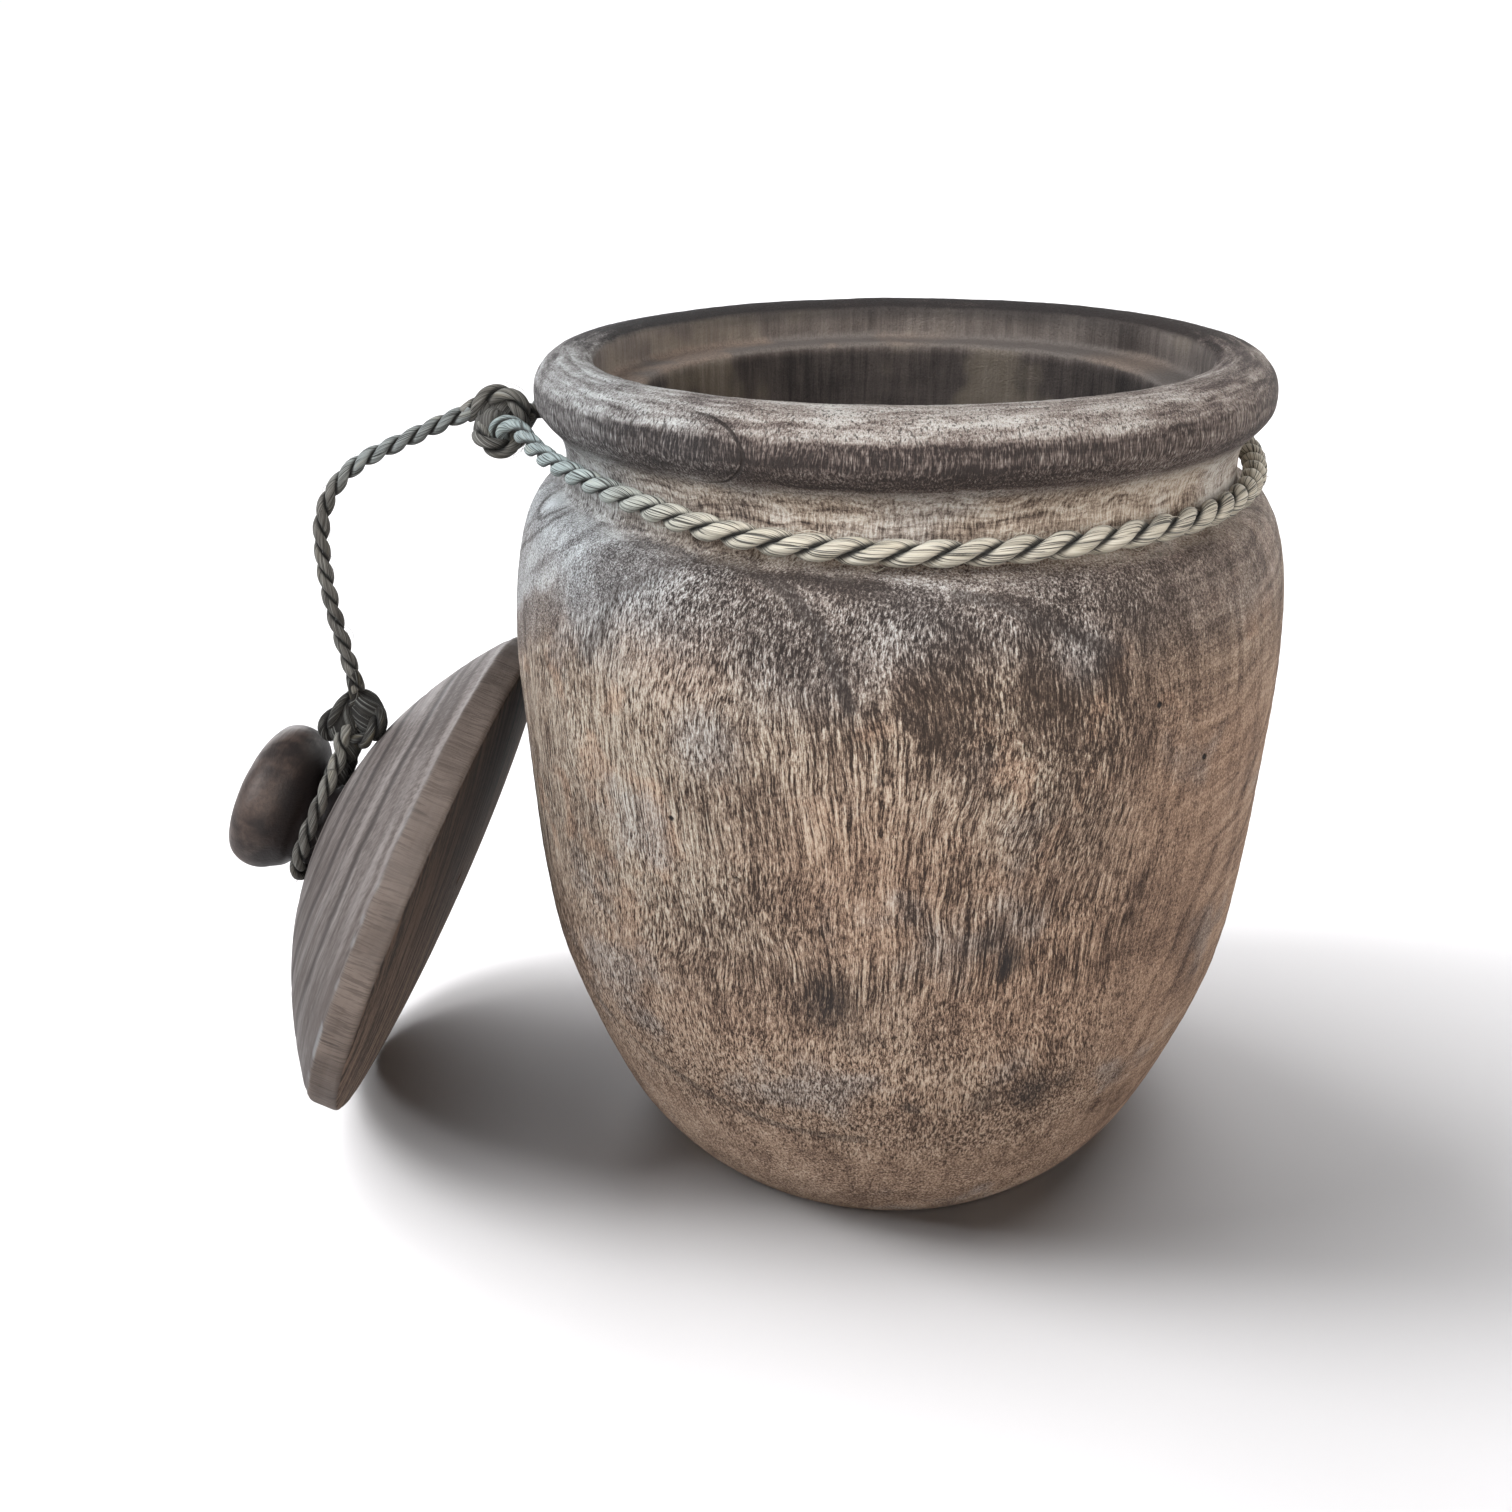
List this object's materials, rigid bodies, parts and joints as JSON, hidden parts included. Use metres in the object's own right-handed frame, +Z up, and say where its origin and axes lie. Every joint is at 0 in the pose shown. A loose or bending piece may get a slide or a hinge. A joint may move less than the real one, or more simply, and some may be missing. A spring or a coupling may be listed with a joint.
{
  "type": "lidded wooden pot",
  "caption": "Turned wooden pot with rounded rim and recessed mouth; a domed, knobbed lid leans beside it, tied to the pot's neck by a twisted cord.",
  "frame": {"origin": "centre of the pot's flat standing face", "axes": "+Z up along the pot's turning axis, +X from the leaning lid's side towards the far side, -Y towards the viewer"},
  "size_m": [0.2727, 0.1872, 0.2064],
  "materials": {
    "pot_wood": "dry, weathered, long vertical grain",
    "lid_wood": "dry, weathered, ring grain",
    "knob_wood": "smooth, darkened by handling",
    "cord": "two-ply twisted, silky",
    "cord_dark": "two-ply twisted, soiled"
  },
  "bodies": {
    "pot": {"pot_body": "pot_wood"},
    "neck_loop": {"neck_rope": "cord", "neck_knot": "cord_dark"},
    "knob_loop": {"tether_rope": "cord_dark", "knob_knot": "cord_dark", "knob_rope_loop": "cord_dark"},
    "lid": {"lid": "lid_wood", "lid_knob": "knob_wood"}
  },
  "joints": [
    {"name": "cord_round_neck", "type": "hinge", "parent": "pot", "child": "neck_loop", "pos_m": [0, 0, 0.184], "axis": [0, 0, 1], "continuous": true},
    {"name": "lid_tilt", "type": "hinge", "parent": "neck_loop", "child": "knob_loop", "pos_m": [-0.14952, -0.0085, 0], "axis": [0, -1, 0], "range_deg": [0, 12.8]},
    {"name": "lid_spin", "type": "hinge", "parent": "knob_loop", "child": "lid", "pos_m": [-0.1212, -0.0085, 0.06281], "axis": [-0.9146, 0, 0.4043], "continuous": true}
  ]
}
